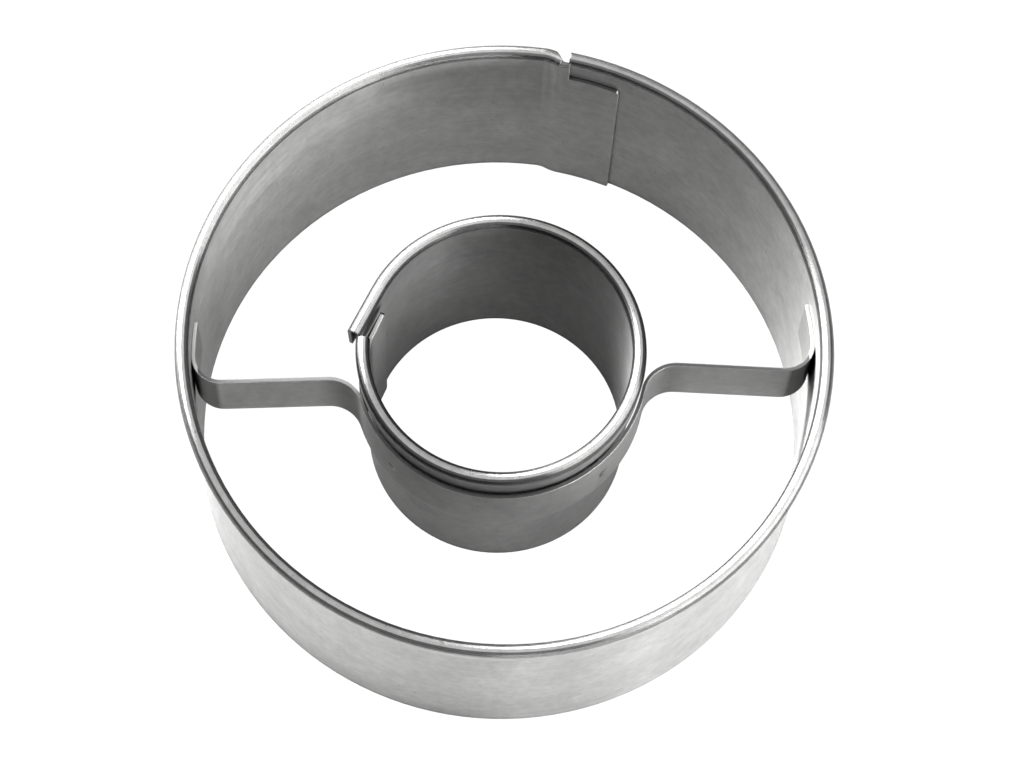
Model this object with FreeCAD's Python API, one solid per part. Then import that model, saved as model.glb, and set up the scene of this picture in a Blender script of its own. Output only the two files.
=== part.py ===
import FreeCAD, Part
import math
import os
from collections import namedtuple

# Doughnut cutter of thin stainless strip: an outer ring that cuts the round, an inner ring
# that cuts the hole, and a bent strip that carries the inner ring inside the outer one.
# Each ring is one strip bent to a circle. Its top edge is folded outwards into a hem, and its
# ends lap: a plain tongue at one end slides inside the other end and is spot welded there.
#
# Millimetres, +Z up. The origin is the centre of the outer ring in the plane of both cutting
# edges, which the cutter stands on. +Y is the back, where the outer ring laps.

# Sheet
SHEET = 0.35                    # thickness of all three strips
WELD_CLEARANCE = 0.02           # left between faces that are pressed together and welded

# Outer ring
OUTER_DIAMETER = 60.0           # over the hemmed rim
OUTER_HEIGHT = 23.7             # cutting edge to top of rim
OUTER_RIM_WIDTH = 1.3           # across the fold of the hem
OUTER_HEM_HEIGHT = 2.6          # top of rim to the raw edge of the hem
OUTER_HEM_GAP = 0.2             # between that raw edge and the wall
OUTER_LAP_ANGLE = 81.2          # where the square end of the strip stands, from +X
OUTER_LAP_GAP = 0.06            # between the two thicknesses of the lap
OUTER_TONGUE_LENGTH = 5.1       # from that square end to the end of the tongue
OUTER_STEP_LENGTH = 2.2         # over which the hemmed end steps in to become the tongue
OUTER_MITRE = 0.8               # its hem is cut back by this much per millimetre outwards
OUTER_SHOULDER = 0.15           # its wall keeps its full height this far past the square end
OUTER_SHOULDER_ROOT = 0.6       # and from this far back behind the cut hem

# Inner ring
INNER_DIAMETER = 26.6
INNER_RIM_DROP = 1.2            # its rim stands this much lower than the outer rim
INNER_RIM_WIDTH = 1.3
INNER_HEM_HEIGHT = 3.2
INNER_HEM_GAP = 0.45
INNER_LAP_ANGLE = 159.5         # its lap is flat and its tongue faces this way
INNER_LAP_SPREAD = 2.7          # degrees by which the square end springs open from the tongue
INNER_LAP_GAP = 0.03
INNER_SQUARE_END = 4.8          # straight run of the square end
INNER_TONGUE_END = 0.1          # the tongue ends this far before the point where it faces that way
INNER_TONGUE_BEND = 2.0         # radius of the bend from ring to tongue, at mid sheet
INNER_CENTRE_X = -0.3           # welded in slightly to the left of the centre
INNER_CENTRE_Y = -0.25          # and slightly to the front

# Fold and tongues of both rings
FOLD_FLATS = 8                  # the half turn over the rim is drawn in this many narrow bands
TONGUE_DROP = 0.2               # a tongue's top edge lies this far under the hem
TONGUE_CORNER = 0.3             # radius of a tongue's corners
END_GAP = 0.2                   # between the square end and the hem that starts beside it

# Bridge strip
BRIDGE_WIDTH = 6.6              # height of the strip as it stands on edge
BRIDGE_DROP = 2.7               # its top edge lies this far under the inner rim
BRIDGE_TURN = 5.5               # the strip is welded in turned by this angle about Z
BRIDGE_STAND_OFF = 0.25         # it bows away from the inner ring at the front
BAR_FRONT = 1.85                # the bars run this far in front of the cutter's centre
LEFT_BAR_SKEW = 0.0             # degrees that a bar's outer end swings to the front
RIGHT_BAR_SKEW = 4.8
TAB_BEND = 2.6                  # radius of the bend from bar to tab, at mid sheet
WRAP_BEND = 3.2                 # radius of the bend from bar to the arc round the inner ring
TAB_ANGLE = 8.3                 # a tab reaches this many degrees behind the bridge's own X axis
LEFT_SPOT_ANGLE = 49.0          # degrees from the front of the bridge to each weld spot
RIGHT_SPOT_ANGLE = 42.0
SPOT_DIAMETER = 1.0
SPOT_DEPTH = 0.08               # dent that the electrode leaves in the strip

INNER_HEIGHT = OUTER_HEIGHT - INNER_RIM_DROP
BRIDGE_TOP = INNER_HEIGHT - BRIDGE_DROP
BRIDGE_BOTTOM = BRIDGE_TOP - BRIDGE_WIDTH

Z_AXIS = FreeCAD.Vector(0, 0, 1)

# A run is one piece of a strip's centre line in plan, from start to end. It turns left (+1) or
# right (-1) about a centre, or goes straight (turn 0, no centre).
Run = namedtuple("Run", "start end centre turn")

# A ring has the runs of its hemmed strip, counter-clockwise from the tongue to the square end,
# and those of its tongue, clockwise from where the hem starts. Its shoulder, beside a mitred hem,
# stands up to the rim without a fold.
Ring = namedtuple(
    "Ring", "centre radius height fold_radius hem_height hem_gap mitre hemmed shoulder tongue")


def plan(x, y, z=0.0):
    return FreeCAD.Vector(x, y, z)


def polar(radius, angle):
    return plan(radius * math.cos(angle), radius * math.sin(angle))


def right_of(direction):
    return plan(direction.y, -direction.x)


# Plan geometry of bent strips

def arc_run(centre, radius, start_angle, sweep):
    turn = 1 if sweep > 0 else -1
    start = centre + polar(radius, start_angle)
    end = centre + polar(radius, start_angle + sweep)
    return Run(start, end, centre, turn)


def reversed_run(run):
    return Run(run.end, run.start, run.centre, -run.turn)


def sweep_of(run):
    """Signed angle that an arc run turns through."""
    first = run.start - run.centre
    last = run.end - run.centre
    angle = math.atan2(last.y, last.x) - math.atan2(first.y, first.x)
    return run.turn * ((run.turn * angle) % (2 * math.pi))


def heading_at(run, point):
    """Unit vector along the strip at one end of a run."""
    if run.turn == 0:
        return (run.end - run.start).normalize()
    spoke = (point - run.centre).normalize()
    return plan(-spoke.y, spoke.x) * run.turn


def side_edge(run, offset, z):
    """Edge at height z beside a run, offset to its right."""
    lift = Z_AXIS * z
    if run.turn == 0:
        shift = right_of(heading_at(run, run.start)) * offset + lift
        return Part.LineSegment(run.start + shift, run.end + shift).toShape()
    first = run.start - run.centre
    radius = first.Length + run.turn * offset
    start_angle = math.atan2(first.y, first.x)
    sweep = sweep_of(run)
    points = [run.centre + polar(radius, start_angle + sweep * part) + lift for part in (0, 0.5, 1)]
    return Part.Arc(*points).toShape()


def ribbon(runs, bottom, top):
    """Solid strip that stands on edge along the runs."""
    right = [side_edge(run, SHEET / 2, bottom) for run in runs]
    left = [side_edge(run, -SHEET / 2, bottom) for run in runs]
    caps = []
    for run, point in ((runs[0], runs[0].start), (runs[-1], runs[-1].end)):
        across = right_of(heading_at(run, point)) * (SHEET / 2)
        lift = Z_AXIS * bottom
        caps.append(Part.LineSegment(point - across + lift, point + across + lift).toShape())
    outline = Part.Wire(Part.__sortEdges__(right + left + caps))
    return Part.Face(outline).extrude(Z_AXIS * (top - bottom))


def swept(runs, section):
    """Solid of a section drawn by section(point, outwards), carried along the runs."""
    pieces = []
    for run in runs:
        face = section(run.start, right_of(heading_at(run, run.start)))
        if run.turn == 0:
            pieces.append(face.extrude(run.end - run.start))
        else:
            pieces.append(face.revolve(run.centre, Z_AXIS, math.degrees(sweep_of(run))))
    return joined(pieces)


def joined(pieces):
    solid = pieces[0]
    if len(pieces) > 1:
        solid = pieces[0].multiFuse(pieces[1:]).removeSplitter()
    return solid.Solids[0] if len(solid.Solids) == 1 else solid


def step_inwards(run, radius, offset, length):
    """Two runs that go on clockwise from the end of a run round a circle and step in by offset."""
    point = run.end
    ahead = heading_at(run, run.end)
    lean = 2 * math.atan2(offset, length)
    bend = length / (2 * math.sin(lean))
    runs = []
    for curvature in (-1 / radius - 1 / bend, -1 / radius + 1 / bend):
        centre = point - right_of(ahead) * (1 / curvature)
        spoke = point - centre
        runs.append(arc_run(centre, spoke.Length, math.atan2(spoke.y, spoke.x), bend * lean * curvature))
        point = runs[-1].end
        ahead = heading_at(runs[-1], point)
    return runs


def round_lap(centre, radius, square_end, offset):
    """Hemmed, shoulder and tongue runs of a ring whose tongue steps in and follows the circle."""
    start = square_end + (END_GAP + OUTER_STEP_LENGTH) / radius
    body = arc_run(centre, radius, start, square_end + 2 * math.pi - start)
    steps = step_inwards(reversed_run(body), radius, offset, OUTER_STEP_LENGTH)
    tongue_start = steps[-1].end
    inwards = right_of(heading_at(steps[-1], tongue_start))
    tongue_radius = radius - offset
    tongue_centre = tongue_start + inwards * tongue_radius
    start_angle = math.atan2(-inwards.y, -inwards.x)
    hemmed = [reversed_run(run) for run in reversed(steps)] + [body]
    beyond = [arc_run(tongue_centre, tongue_radius, start_angle, -(END_GAP + length) / tongue_radius)
              for length in (OUTER_SHOULDER, OUTER_TONGUE_LENGTH)]
    step = steps[-1]
    spoke = step.end - step.centre
    root_turn = step.turn * OUTER_SHOULDER_ROOT / spoke.Length
    root = arc_run(step.centre, spoke.Length, math.atan2(spoke.y, spoke.x) - root_turn, root_turn)
    return hemmed, [root, beyond[0]], beyond[1:]


def flat_lap(centre, radius, facing, offset):
    """Hemmed, shoulder and tongue runs of a ring whose two ends stay straight."""
    leave = facing - math.radians(INNER_LAP_SPREAD)
    start = leave + math.atan2(INNER_SQUARE_END, radius) + END_GAP / radius
    body = arc_run(centre, radius, start, leave + 2 * math.pi - start)
    square_end = Run(body.end, body.end + heading_at(body, body.end) * INNER_SQUARE_END, None, 0)

    bend_reach = radius - INNER_TONGUE_BEND
    bend_turn = math.acos((bend_reach - offset) / bend_reach)
    root = arc_run(centre, radius, start, facing + bend_turn - start)
    bend_centre = centre + polar(bend_reach, facing + bend_turn)
    bend = arc_run(bend_centre, INNER_TONGUE_BEND, facing + bend_turn, -bend_turn)
    ahead = polar(1, facing + math.pi / 2)
    tongue_end = centre + polar(radius - offset, facing) + ahead * INNER_TONGUE_END
    return [body, square_end], [], [root, bend, Run(bend.end, tongue_end, None, 0)]


# Rings

def hem_lean(ring):
    """Angle by which the folded leaf leans from upright towards the wall."""
    inner_fold = ring.fold_radius - SHEET
    across = inner_fold - ring.hem_gap
    down = ring.hem_height - ring.fold_radius
    return math.asin(inner_fold / math.hypot(across, down)) + math.atan2(across, down)


def hem_reach(ring, height):
    """Outer radius of a ring's wall or hem at a height."""
    if height < ring.height - ring.hem_height:
        return ring.radius + SHEET / 2
    fold_centre = ring.radius - SHEET / 2 + ring.fold_radius
    fold_level = ring.height - ring.fold_radius
    lean = hem_lean(ring)
    leaf_top = fold_level - ring.fold_radius * math.sin(lean)
    if height >= leaf_top:
        return fold_centre + ring.fold_radius
    return fold_centre + ring.fold_radius * math.cos(lean) - (leaf_top - height) * math.tan(lean)


def wall_section(ring):
    def draw(point, outwards):
        across = outwards * (SHEET / 2)
        top = Z_AXIS * (ring.height - ring.fold_radius)
        corners = [point - across, point + across, point + across + top, point - across + top]
        return Part.Face(Part.makePolygon(corners + corners[:1]))
    return draw


def hem_section(ring):
    """The fold over the top of the wall and the leaf that hangs outside it."""
    lean = hem_lean(ring)
    level = ring.height - ring.fold_radius

    def draw(point, outwards):
        middle = point + outwards * (ring.fold_radius - SHEET / 2) + Z_AXIS * level

        def round_fold(radius):
            turns = [math.pi * (1 - step / FOLD_FLATS) for step in range(FOLD_FLATS + 1)] + [-lean]
            return [middle + outwards * (radius * math.cos(turn)) + Z_AXIS * (radius * math.sin(turn))
                    for turn in turns]

        inner_fold = ring.fold_radius - SHEET
        leaf_length = (ring.hem_height - ring.fold_radius - inner_fold * math.sin(lean)) / math.cos(lean)
        leaf = outwards * (-math.sin(lean) * leaf_length) - Z_AXIS * (math.cos(lean) * leaf_length)
        outside = round_fold(ring.fold_radius)
        inside = round_fold(inner_fold)
        outline = outside + [outside[-1] + leaf, inside[-1] + leaf] + inside[::-1] + outside[:1]
        return Part.Face(Part.makePolygon(outline))
    return draw


def mitre_cutter(ring):
    """Wedge that cuts the start of the hem back, from nothing at the inside of the ring."""
    run = ring.hemmed[0]
    ahead = heading_at(run, run.start)
    outwards = right_of(ahead)
    reach = 3 * ring.fold_radius
    corner = run.start - outwards * (SHEET / 2) + Z_AXIS * (ring.height - ring.hem_height)
    wedge = [corner, corner + outwards * reach, corner + (outwards + ahead * ring.mitre) * reach, corner]
    return Part.Face(Part.makePolygon(wedge)).extrude(Z_AXIS * (2 * ring.hem_height))


def plain_tongue(ring, runs):
    """The strip that slides inside the lap, with the corners at its end rounded."""
    top = ring.height - ring.hem_height - TONGUE_DROP
    strip = ribbon(runs, 0, top)
    end = runs[-1].end
    corners = []
    for edge in strip.Edges:
        middle = edge.CenterOfMass
        beside_end = math.hypot(middle.x - end.x, middle.y - end.y) < SHEET / 10
        if beside_end and edge.Length < 1.5 * SHEET:
            corners.append(edge)
    return strip.makeFillet(TONGUE_CORNER, corners)


def make_ring(ring):
    strip = joined([swept(ring.hemmed, wall_section(ring)), swept(ring.hemmed, hem_section(ring))])
    if ring.shoulder:
        mitred = strip.cut(mitre_cutter(ring)).Solids[0]
        strip = joined([mitred, ribbon(ring.shoulder, 0, ring.height)])
    return joined([strip, plain_tongue(ring, ring.tongue)])


# Bridge strip

def far_root(origin, direction, middle, distance):
    """Point on a line, ahead of its origin, at a distance from a middle."""
    away = origin - middle
    along = away.dot(direction)
    return origin + direction * (-along + math.sqrt(along ** 2 - away.dot(away) + distance ** 2))


def bridge_side(side, skew, tab_radius, wrap_centre, wrap_radius):
    """Runs from the arc round the inner ring out to the end of one tab; side is +1 right, -1 left."""
    skew = math.radians(skew)
    along = plan(side * math.cos(skew), -math.sin(skew))
    back = plan(side * math.sin(skew), math.cos(skew))
    middle = plan(side * (tab_radius + wrap_radius) / 2, -BAR_FRONT)
    tab_bend = far_root(middle + back * TAB_BEND, along, plan(0, 0), tab_radius - TAB_BEND)
    wrap_bend = far_root(middle - back * WRAP_BEND, along, wrap_centre, wrap_radius + WRAP_BEND)
    leave = wrap_centre + (wrap_bend - wrap_centre).normalize() * wrap_radius
    meet = plan(*tab_bend).normalize() * tab_radius
    tab_end_angle = math.radians(TAB_ANGLE)
    tab_end = plan(side * tab_radius * math.cos(tab_end_angle), tab_radius * math.sin(tab_end_angle))
    bar_in = wrap_bend + back * WRAP_BEND
    bar_out = tab_bend - back * TAB_BEND
    return [Run(leave, bar_in, wrap_bend, -side), Run(bar_in, bar_out, None, 0),
            Run(bar_out, meet, tab_bend, side), Run(meet, tab_end, plan(0, 0), side)]


def weld_spot(wrap_centre, wrap_radius, ring_centre, ring_wall, angle):
    """Dent in the outside of the strip, and the nugget that joins it to the ring behind."""
    outwards = polar(1, angle)
    level = Z_AXIS * ((BRIDGE_TOP + BRIDGE_BOTTOM) / 2)
    face = wrap_centre + outwards * (wrap_radius + SHEET / 2) + level
    dent = Part.makeCylinder(SPOT_DIAMETER / 2, 2 * SHEET, face - outwards * SPOT_DEPTH, outwards)
    start = face - outwards * (SHEET / 2)
    wall = far_root(wrap_centre, outwards, ring_centre, ring_wall + WELD_CLEARANCE) + level
    nugget = Part.makeCylinder(SPOT_DIAMETER / 2, (start - wall).Length, wall, outwards)
    return dent, nugget


def make_bridge(outer, inner):
    turn = math.radians(BRIDGE_TURN)
    tab_radius = outer.radius - SHEET - WELD_CLEARANCE
    wrap_radius = hem_reach(inner, BRIDGE_TOP) + WELD_CLEARANCE + SHEET / 2
    ring_centre = FreeCAD.Rotation(Z_AXIS, -BRIDGE_TURN).multVec(inner.centre)
    wrap_centre = ring_centre - plan(0, BRIDGE_STAND_OFF)
    right = bridge_side(1, RIGHT_BAR_SKEW, tab_radius, wrap_centre, wrap_radius)
    left = bridge_side(-1, LEFT_BAR_SKEW, tab_radius, wrap_centre, wrap_radius)
    left = [reversed_run(run) for run in reversed(left)]
    wrap = Run(left[-1].end, right[0].start, wrap_centre, 1)
    strip = ribbon(left + [wrap] + right, BRIDGE_BOTTOM, BRIDGE_TOP)
    for degrees in (-LEFT_SPOT_ANGLE, RIGHT_SPOT_ANGLE):
        angle = math.radians(degrees) - math.pi / 2
        wall = inner.radius + SHEET / 2
        dent, nugget = weld_spot(wrap_centre, wrap_radius, ring_centre, wall, angle)
        strip = strip.fuse(nugget).cut(dent)
    strip = strip.removeSplitter().Solids[0]
    strip.rotate(plan(0, 0), Z_AXIS, BRIDGE_TURN)
    return strip


outer_centre = plan(0, 0)
outer_radius = OUTER_DIAMETER / 2 - OUTER_RIM_WIDTH + SHEET / 2
outer_hemmed, outer_shoulder, outer_tongue = round_lap(
    outer_centre, outer_radius, math.radians(OUTER_LAP_ANGLE), SHEET + OUTER_LAP_GAP)
outer_ring = Ring(
    centre=outer_centre,
    radius=outer_radius,
    height=OUTER_HEIGHT,
    fold_radius=OUTER_RIM_WIDTH / 2,
    hem_height=OUTER_HEM_HEIGHT,
    hem_gap=OUTER_HEM_GAP,
    mitre=OUTER_MITRE,
    hemmed=outer_hemmed,
    shoulder=outer_shoulder,
    tongue=outer_tongue,
)

inner_centre = plan(INNER_CENTRE_X, INNER_CENTRE_Y)
inner_radius = INNER_DIAMETER / 2 - INNER_RIM_WIDTH + SHEET / 2
inner_hemmed, inner_shoulder, inner_tongue = flat_lap(
    inner_centre, inner_radius, math.radians(INNER_LAP_ANGLE), SHEET + INNER_LAP_GAP)
inner_ring = Ring(
    centre=inner_centre,
    radius=inner_radius,
    height=INNER_HEIGHT,
    fold_radius=INNER_RIM_WIDTH / 2,
    hem_height=INNER_HEM_HEIGHT,
    hem_gap=INNER_HEM_GAP,
    mitre=0,
    hemmed=inner_hemmed,
    shoulder=inner_shoulder,
    tongue=inner_tongue,
)

os.makedirs("parts", exist_ok=True)
nodes = {
    "outer_ring": make_ring(outer_ring),
    "inner_ring": make_ring(inner_ring),
    "bridge": make_bridge(outer_ring, inner_ring),
}
for name, shape in nodes.items():
    box = shape.optimalBoundingBox()
    print(name, "solids", len(shape.Solids), "valid", shape.isValid(), "volume %.2f" % shape.Volume,
          "box %.2f %.2f %.2f" % (box.XLength, box.YLength, box.ZLength))
    shape.exportStep("parts/" + name + ".step")
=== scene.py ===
"""Looks of the doughnut cutter: satin stainless strip on a pale floor under soft studio light."""

import math
from collections import namedtuple

import bpy
from mathutils import Matrix, Vector

# Camera, solved from the photograph's rims and cutting edges. Lengths are metres, angles degrees.
CAMERA_PLACE = Vector((0.0, -0.11358, 0.30365))
CAMERA_PITCH = 68.695           # below the horizon
CAMERA_YAW = 0.077
CAMERA_ROLL = 3.558
CAMERA_LENS = 117.05            # millimetres on the sensor below
CAMERA_SENSOR = 36.0
CAMERA_SHIFT_X = 0.0078         # in sensor widths
CAMERA_NEAR = 0.01
CAMERA_FAR = 20.0

# Floor. The photograph's background is cut out to even white, so the floor shows the camera
# mostly white, while it lights and reflects like a plain matt floor.
FLOOR_WIDTH = 8.0
FLOOR_COLOUR = (0.45, 0.45, 0.45, 1.0)
FLOOR_WHITE = 1.1               # strength of the white that the camera sees
FLOOR_WHITENING = 0.93          # and its share in what the camera sees

# Light: a bright cap overhead, a dim band down to the horizon, and soft boxes at the sides.
# The whole sky is dimmer towards the viewer and the left.
SKY_CAP = 1.44
SKY_BAND = 0.10
CAP_EDGE_LOW = 0.62             # sine of the elevation where the cap starts
CAP_EDGE_HIGH = 0.74            # and where it has its full strength
SHADY_SIDE = (-0.707, -0.707, 0.0)
SHADY_START = 0.15              # cosine of the angle from that side where the dimming starts
SHADY_FULL = 0.75               # and where it is full
SHADY_LEVEL = 0.55
EXPOSURE = 0.0

Lamp = namedtuple("Lamp", "place width height watts")
LAMPS = {
    "left_box": Lamp(Vector((-0.42, 0.50, 0.55)), 0.9, 0.5, 24.0),
    "right_box": Lamp(Vector((0.65, -0.26, 0.40)), 0.9, 0.5, 8.0),
    "front_box": Lamp(Vector((0.45, -1.05, 0.07)), 0.9, 0.10, 3.6),
}

# Steel: one stainless for every strip, in greys that carry painted shade (the inner ring, which
# stands enclosed, is a darker copy and the bridge lies between), and reflections blurred across
# the rolling marks
OUTER_STEEL = (0.60, 0.60, 0.595)
INNER_STEEL_SHADED = (0.30, 0.30, 0.298)
BRIDGE_STEEL_SHADED = (0.48, 0.48, 0.476)
STEEL_ROUGHNESS = 0.36
ROUGHNESS_DIP = 0.06            # how much smoother than that the grain gets
ROUGHNESS_RISE = 0.08           # and how much rougher
STEEL_ANISOTROPY = 0.93
GRAIN_UPRIGHT = 0.25            # turn that blurs reflections across the rolling marks
ROLLING_STRETCH = 40.0          # the rolling marks are this much longer than the noise
ROLLING_FINENESS = 6.0          # and this much finer upwards
GRAIN_BUMP = 0.15               # strength of the rolling marks' relief
GRAIN_RELIEF = 0.00002          # and its height

# Layers of shade on the steel: the noise's scale and detail, two levels of the noise, and the
# shade below the one level and above the other
Layer = namedtuple("Layer", "scale detail low high shade_low shade_high")
MOTTLE = Layer(260.0, 6.0, 0.25, 0.75, 0.90, 1.10)
ROLLING_MARKS = Layer(900.0, 4.0, 0.3, 0.7, 0.93, 1.05)
SPECKS = Layer(2600.0, 2.0, 0.66, 0.74, 1.0, 0.75)
BLOTCHES = Layer(1100.0, 3.0, 0.3, 0.7, 0.92, 1.08)

# Rims: the fold is smoother on its crest, and a painted reflection lies across it: a set grey
# on the crest and painted shade on the flanks. The leans are the upward part of the surface's
# direction.
OUTER_RIM_TOP = 0.0237
INNER_RIM_TOP = 0.0225
NO_RIM = 1.0                    # a height out of reach
RIM_DEPTH = 0.0007              # how far down from the top of the rim the fold reaches
RIM_FADE_START = 1.3            # in rim depths below the top: where the fold's painted reflection and roughness start and where they are full
RIM_FADE_END = 0.9              # and where it is full
RIM_ROUGHNESS = 0.27
RIM_CREST_PAINTED_GREY = 0.40               # painted reflection: grey of the crest on every rim
RIM_FLANK_PAINTED_SHADE = 0.32                # painted shade of the flanks
WALL_LEAN = 0.08                # up to here the fold has the wall's shade
FLANK_LEANS = (0.30, 0.80)      # between these it is darkest
CREST_LEAN = 0.95               # and from here it is the crest

# Edges: sheared ones are flat, dull grey or brightened by a painted highlight, and the arrises
# have a painted highlight and smoother roughness
EDGE_DARK = (0.14, 0.14, 0.14)
# painted highlight on the sheared edges of the inner ring and the bridge's tabs
EDGE_PAINTED_HIGHLIGHT = (0.70, 0.70, 0.69)
EDGE_FLATNESS = 0.992           # sheared edges lie flatter than this
EDGE_ROUNDING = 0.0001
ARRIS_PAINTED_HIGHLIGHT = (0.80, 0.80, 0.79)
ARRIS_ROUGHNESS = 0.25
ARRIS_START = 0.95              # cosine between plain and rounded surface where the painted highlight and polish start, and where they are full
ARRIS_FULL = 0.80               # starts, and where it is full

# Painted shade in crevices: those narrower than about the depth below are darkened.
CREVICE_DEPTH = 0.0010
CREVICE_PAINTED_SHADE = 0.12
CREVICE_FULL = 0.2              # openness at which the painted shade is full
CREVICE_UNSHADED = 0.7             # and at which there is none
SHADING_SAMPLES = 6

# Dark places, each with its middle, the radii where the dark is full and where it ends,
# how much wider than high it is, and its shade: soot on the right weld on the wrap, and a painted
# shadow in the recess behind the inner ring's tongue
SootAndShadow = namedtuple("SootAndShadow", "middle core reach flatness shade")
SOOTY_WELD = SootAndShadow((0.0097, -0.0098, 0.0163), 0.0001, 0.0006, 0.5, 0.30)
RECESS_PAINTED_SHADOW = SootAndShadow((-0.0122, 0.0019, 0.0207), 0.0014, 0.0024, 1.6, 0.10)

# Radius from the axis and shade there, painted shade for dark reflections: the bridge's wrap is
# darker than its bars, and the bends next to the tabs are darker still.
BRIDGE_PAINTED_SHADE = (
    (0.0150, 0.62), (0.0175, 1.0), (0.0262, 1.0),
    (0.0266, 0.42), (0.0280, 0.42), (0.0283, 0.9),
)
RADIUS_SPAN = 0.03                # radius that those shades are spread over
TAB_HIGHLIGHT_START = 0.0281              # radius from which the bridge's sheared edges get the painted highlight

# Sockets of the Mix node that go by number: first value, second value, result
MIX_NUMBERS = (2, 3, 0)
MIX_VECTORS = (4, 5, 1)


class Tree:
    """The node tree of a material or world, with short calls that add nodes and join them."""

    def __init__(self, owner):
        owner.use_nodes = True
        self.nodes = owner.node_tree.nodes
        self.links = owner.node_tree.links

    def add(self, kind, **settings):
        node = self.nodes.new("ShaderNode" + kind)
        for name, value in settings.items():
            setattr(node, name, value)
        return node

    def feed(self, inlet, source):
        """Joins a socket to the inlet, or writes a plain value there."""
        if isinstance(source, bpy.types.NodeSocket):
            self.links.new(source, inlet)
        else:
            inlet.default_value = source

    def number(self, operation, first, second=0.0):
        node = self.add("Math", operation=operation)
        self.feed(node.inputs[0], first)
        self.feed(node.inputs[1], second)
        return node.outputs["Value"]

    def product(self, *shades):
        result = shades[0]
        for shade in shades[1:]:
            result = self.number("MULTIPLY", result, shade)
        return result

    def measure(self, operation, first, second=(0.0, 0.0, 0.0)):
        """A number worked out from vectors: a length, a distance or a dot product."""
        node = self.add("VectorMath", operation=operation)
        self.feed(node.inputs[0], first)
        self.feed(node.inputs[1], second)
        return node.outputs["Value"]

    def scaled(self, vector, scale):
        node = self.add("VectorMath", operation="SCALE")
        self.feed(node.inputs[0], vector)
        self.feed(node.inputs["Scale"], scale)
        return node.outputs["Vector"]

    def stretched(self, vector, scale):
        node = self.add("Mapping")
        node.inputs["Scale"].default_value = scale
        self.feed(node.inputs["Vector"], vector)
        return node.outputs["Vector"]

    def part(self, vector, axis):
        node = self.add("SeparateXYZ")
        self.feed(node.inputs["Vector"], vector)
        return node.outputs[axis]

    def blend(self, kind, sockets, factor, first, second):
        node = self.add("Mix", data_type=kind)
        first_inlet, second_inlet, result = sockets
        self.feed(node.inputs["Factor"], factor)
        self.feed(node.inputs[first_inlet], first)
        self.feed(node.inputs[second_inlet], second)
        return node.outputs[result]

    def mix(self, factor, first, second):
        return self.blend("FLOAT", MIX_NUMBERS, factor, first, second)

    def mix_colours(self, factor, first, second):
        return self.blend("VECTOR", MIX_VECTORS, factor, first, second)

    def mapped(self, value, low, high, to_low, to_high, curve="LINEAR"):
        node = self.add("MapRange", interpolation_type=curve)
        node.inputs["From Min"].default_value = low
        node.inputs["From Max"].default_value = high
        node.inputs["To Min"].default_value = to_low
        node.inputs["To Max"].default_value = to_high
        self.feed(node.inputs["Value"], value)
        return node.outputs["Result"]

    def ramp(self, value, *stops):
        """Shade by value, from pairs of a place on the ramp and the shade there."""
        node = self.add("ValToRGB")
        elements = node.color_ramp.elements
        for element, (place, shade) in zip(elements, (stops[0], stops[-1])):
            element.position = place
            element.color = (shade, shade, shade, 1.0)
        for place, shade in stops[1:-1]:
            elements.new(place).color = (shade, shade, shade, 1.0)
        self.feed(node.inputs["Fac"], value)
        return node.outputs["Color"]

    def noise(self, vector, layer):
        node = self.add("TexNoise")
        node.inputs["Scale"].default_value = layer.scale
        node.inputs["Detail"].default_value = layer.detail
        self.feed(node.inputs["Vector"], vector)
        return node.outputs["Fac"]

    def shade(self, noise, layer):
        return self.mapped(noise, layer.low, layer.high, layer.shade_low, layer.shade_high)


def link(obj):
    bpy.context.scene.collection.objects.link(obj)
    return obj


def point_camera():
    pitch = math.radians(CAMERA_PITCH)
    yaw = math.radians(CAMERA_YAW)
    roll = math.radians(CAMERA_ROLL)
    ahead = Vector((math.sin(yaw) * math.cos(pitch),
                    math.cos(yaw) * math.cos(pitch),
                    -math.sin(pitch)))
    level = Vector((math.cos(yaw), -math.sin(yaw), 0.0))
    upright = level.cross(ahead)
    right = math.cos(roll) * level + math.sin(roll) * upright
    up = math.cos(roll) * upright - math.sin(roll) * level
    turn = Matrix((right, up, -ahead)).transposed().to_4x4()
    camera = bpy.data.cameras.new("photo_camera")
    camera.lens = CAMERA_LENS
    camera.sensor_width = CAMERA_SENSOR
    camera.shift_x = CAMERA_SHIFT_X
    camera.clip_start = CAMERA_NEAR
    camera.clip_end = CAMERA_FAR
    obj = link(bpy.data.objects.new("photo_camera", camera))
    obj.matrix_world = Matrix.Translation(CAMERA_PLACE) @ turn
    bpy.context.scene.camera = obj


def add_lamp(name, lamp):
    """A soft box that faces the cutter."""
    light = bpy.data.lights.new(name, "AREA")
    light.shape = "RECTANGLE"
    light.size = lamp.width
    light.size_y = lamp.height
    light.energy = lamp.watts
    obj = link(bpy.data.objects.new(name, light))
    obj.location = lamp.place
    obj.rotation_euler = (-lamp.place).to_track_quat("-Z", "Y").to_euler()


def light_world():
    world = bpy.data.worlds.new("studio")
    bpy.context.scene.world = world
    tree = Tree(world)
    tree.nodes.clear()
    ahead = tree.add("TexCoord").outputs["Generated"]
    sky = tree.mapped(tree.part(ahead, "Z"),
                      CAP_EDGE_LOW, CAP_EDGE_HIGH, SKY_BAND, SKY_CAP, "SMOOTHSTEP")
    dimming = tree.mapped(tree.measure("DOT_PRODUCT", ahead, SHADY_SIDE),
                          SHADY_START, SHADY_FULL, 1.0, SHADY_LEVEL, "SMOOTHSTEP")
    background = tree.add("Background")
    tree.feed(background.inputs["Strength"], tree.product(sky, dimming))
    tree.feed(tree.add("OutputWorld").inputs["Surface"], background.outputs["Background"])


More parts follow.
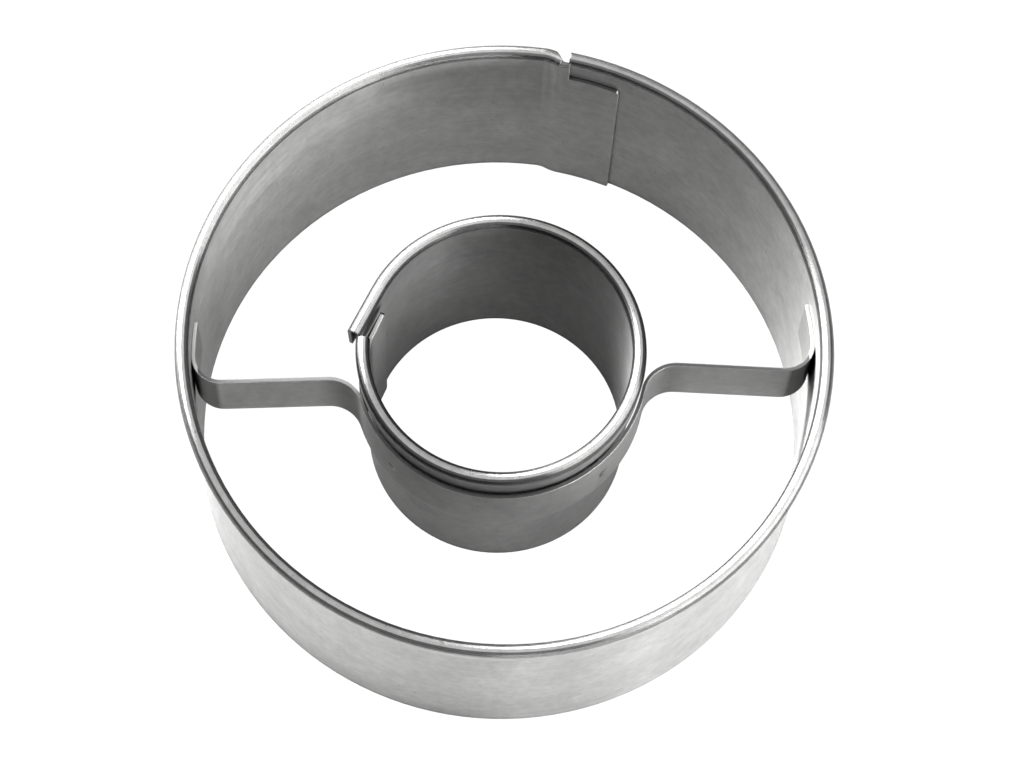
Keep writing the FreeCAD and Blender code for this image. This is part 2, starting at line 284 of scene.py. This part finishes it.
def lay_floor():
    half = FLOOR_WIDTH / 2
    mesh = bpy.data.meshes.new("floor")
    corners = [(-half, -half, 0), (half, -half, 0), (half, half, 0), (-half, half, 0)]
    mesh.from_pydata(corners, [], [(0, 1, 2, 3)])
    floor = link(bpy.data.objects.new("floor", mesh))
    material = bpy.data.materials.new("floor")
    tree = Tree(material)
    tree.nodes.clear()
    matt = tree.add("BsdfDiffuse")
    matt.inputs["Color"].default_value = FLOOR_COLOUR
    white = tree.add("Emission")
    white.inputs["Strength"].default_value = FLOOR_WHITE
    seen = tree.add("LightPath").outputs["Is Camera Ray"]
    mix = tree.add("MixShader")
    tree.feed(mix.inputs["Fac"], tree.mapped(seen, 0.0, 1.0, 0.0, FLOOR_WHITENING))
    tree.feed(mix.inputs[1], matt.outputs["BSDF"])
    tree.feed(mix.inputs[2], white.outputs["Emission"])
    tree.feed(tree.add("OutputMaterial").inputs["Surface"], mix.outputs["Shader"])
    mesh.materials.append(material)


def soot_and_shadow(tree, coords, spot):
    """Shade around a dark place, measured in a space where the place is round: the weld's soot
    and the recess's painted shadow.
    """
    x, y, z = spot.middle
    away = tree.measure("DISTANCE", tree.stretched(coords, (1.0, 1.0, spot.flatness)),
                        (x, y, z * spot.flatness))
    return tree.mapped(away, spot.core, spot.reach, spot.shade, 1.0, "SMOOTHSTEP")


def rim_painted_reflection(tree, fold, normal, colour):
    """Painted reflection across the fold, by how far its surface leans upwards."""
    painted_dark_flanks = [(lean, RIM_FLANK_PAINTED_SHADE) for lean in FLANK_LEANS]
    painted_crest = (CREST_LEAN, RIM_CREST_PAINTED_GREY / colour[0])
    return tree.mix(fold, 1.0, tree.ramp(tree.part(normal, "Z"),
                                         (WALL_LEAN, 1.0), *painted_dark_flanks, painted_crest))


def recess_painted_shadow(tree, coords, normal, recess):
    """Painted shadow that stays on the surfaces that face the ring's inside."""
    inside = tree.number("LESS_THAN", tree.measure("DOT_PRODUCT", normal, recess.middle), 0.0)
    return tree.mix(inside, 1.0, soot_and_shadow(tree, coords, recess))


def radial_painted_shade(tree, radius, heat_tint):
    """Painted shade by radius. The first and the last one go on to the ends of the ramp."""
    stops = [(place / RADIUS_SPAN, shade) for place, shade in heat_tint]
    return tree.ramp(radius, (0.0, heat_tint[0][1]), *stops, (1.0, heat_tint[-1][1]))


def steel(name, finish):
    """Satin rolled strip with fine marks along it and dull or bright sheared edges, with painted
    light: reflections on the rims, highlights on the arrises, and shade in crevices, in the
    recess and on the bridge.
    """
    material = bpy.data.materials.new(name)
    tree = Tree(material)
    shader = tree.nodes["Principled BSDF"]
    shader.inputs["Metallic"].default_value = 1.0
    shader.inputs["Anisotropic"].default_value = STEEL_ANISOTROPY
    shader.inputs["Anisotropic Rotation"].default_value = GRAIN_UPRIGHT
    along = tree.add("Tangent", direction_type="RADIAL", axis="Z")
    tree.feed(shader.inputs["Tangent"], along.outputs["Tangent"])

    # Where the shaded point lies, and which way it faces with and without rounded edges
    coords = tree.add("TexCoord").outputs["Object"]
    surface = tree.add("NewGeometry").outputs
    bevel = tree.add("Bevel", samples=SHADING_SAMPLES)
    bevel.inputs["Radius"].default_value = EDGE_ROUNDING
    rounded = bevel.outputs["Normal"]
    fold = tree.mapped(tree.part(coords, "Z"),
                       finish.rim_top - RIM_FADE_START * RIM_DEPTH,
                       finish.rim_top - RIM_FADE_END * RIM_DEPTH,
                       0.0, 1.0, "SMOOTHSTEP")

    # Colour of the strip's faces, with painted reflections on the rims and painted shade in the
    # recess and on the bridge
    rolled = tree.stretched(coords, (1 / ROLLING_STRETCH, 1 / ROLLING_STRETCH, ROLLING_FINENESS))
    grain = tree.noise(rolled, ROLLING_MARKS)
    shade = tree.product(
        tree.shade(tree.noise(coords, MOTTLE), MOTTLE),
        # the rims' painted reflection is one of these factors
        rim_painted_reflection(tree, fold, rounded, finish.colour),
        tree.shade(grain, ROLLING_MARKS),
        tree.shade(tree.noise(coords, SPECKS), SPECKS),
        tree.shade(tree.noise(coords, BLOTCHES), BLOTCHES))
    if finish.recess:
        # painted shadow in the recess behind the inner ring's tongue
        shade = tree.product(shade, recess_painted_shadow(tree, coords, surface["Normal"], finish.recess))
    edge_colour = finish.edge_colour
    # painted shade on the bridge by radius
    if finish.heat_tint:
        flat = tree.stretched(coords, (1 / RADIUS_SPAN, 1 / RADIUS_SPAN, 0.0))
        radius = tree.measure("LENGTH", flat)
        shade = tree.product(shade, radial_painted_shade(tree, radius, finish.heat_tint))
        # the tabs' sheared edges get a painted highlight, the bars' stay dull
        tab_highlight = tree.number("GREATER_THAN", radius, TAB_HIGHLIGHT_START / RADIUS_SPAN)
        edge_colour = tree.mix_colours(tab_highlight, edge_colour, EDGE_PAINTED_HIGHLIGHT)
    colour = tree.scaled(finish.colour, shade)

    # Sheared edges, painted highlights on the arrises, and over both the crevices' painted shade
    # and the weld's soot
    upward = tree.number("ABSOLUTE", tree.part(surface["True Normal"], "Z"))
    sheared = tree.number("GREATER_THAN", upward, EDGE_FLATNESS)
    colour = tree.mix_colours(sheared, colour, edge_colour)
    # painted highlight along the rounded arrises, with smoother roughness there too
    arris = tree.mapped(tree.measure("DOT_PRODUCT", rounded, surface["Normal"]),
                        ARRIS_START, ARRIS_FULL, 0.0, finish.arris_polish)
    colour = tree.mix_colours(arris, colour, ARRIS_PAINTED_HIGHLIGHT)
    # painted shade: the colour darkens in crevices by how closed they are
    hollow = tree.add("AmbientOcclusion", samples=SHADING_SAMPLES)
    hollow.inputs["Distance"].default_value = CREVICE_DEPTH
    painted_shade_and_soot = tree.mapped(hollow.outputs["AO"], CREVICE_FULL, CREVICE_UNSHADED, CREVICE_PAINTED_SHADE, 1.0)
    if finish.weld:
        painted_shade_and_soot = tree.product(painted_shade_and_soot, soot_and_shadow(tree, coords, finish.weld))
    tree.feed(shader.inputs["Base Color"], tree.scaled(colour, painted_shade_and_soot))

    rough = tree.mapped(grain, 0.0, 1.0,
                        STEEL_ROUGHNESS - ROUGHNESS_DIP, STEEL_ROUGHNESS + ROUGHNESS_RISE)
    rough = tree.mix(fold, rough, RIM_ROUGHNESS)
    tree.feed(shader.inputs["Roughness"], tree.mix(arris, rough, ARRIS_ROUGHNESS))
    bump = tree.add("Bump")
    bump.inputs["Strength"].default_value = GRAIN_BUMP
    bump.inputs["Distance"].default_value = GRAIN_RELIEF
    tree.feed(bump.inputs["Height"], grain)
    tree.feed(bump.inputs["Normal"], rounded)
    tree.feed(shader.inputs["Normal"], bump.outputs["Normal"])
    return material


Finish = namedtuple("Finish", "colour edge_colour arris_polish rim_top recess heat_tint weld",
                    defaults=(NO_RIM, None, None, None))
FINISH = {
    "outer_ring": Finish(OUTER_STEEL, EDGE_DARK, arris_polish=0.2, rim_top=OUTER_RIM_TOP),
    "inner_ring": Finish(INNER_STEEL_SHADED, EDGE_PAINTED_HIGHLIGHT, arris_polish=0.9, rim_top=INNER_RIM_TOP,
                         recess=RECESS_PAINTED_SHADOW),
    "bridge": Finish(BRIDGE_STEEL_SHADED, EDGE_DARK, arris_polish=0.9, heat_tint=BRIDGE_PAINTED_SHADE,
                     weld=SOOTY_WELD),
}

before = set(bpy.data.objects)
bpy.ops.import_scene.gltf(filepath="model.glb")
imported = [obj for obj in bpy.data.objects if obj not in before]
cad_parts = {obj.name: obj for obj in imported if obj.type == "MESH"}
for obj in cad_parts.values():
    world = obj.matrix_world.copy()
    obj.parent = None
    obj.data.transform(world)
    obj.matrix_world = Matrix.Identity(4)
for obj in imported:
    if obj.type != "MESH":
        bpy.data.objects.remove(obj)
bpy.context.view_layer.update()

for name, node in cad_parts.items():
    node.data.materials.clear()
    node.data.materials.append(steel(name + "_steel", FINISH[name]))

lay_floor()
light_world()
for name, lamp in LAMPS.items():
    add_lamp(name, lamp)
point_camera()
bpy.context.scene.view_settings.view_transform = "Standard"
bpy.context.scene.view_settings.exposure = EXPOSURE
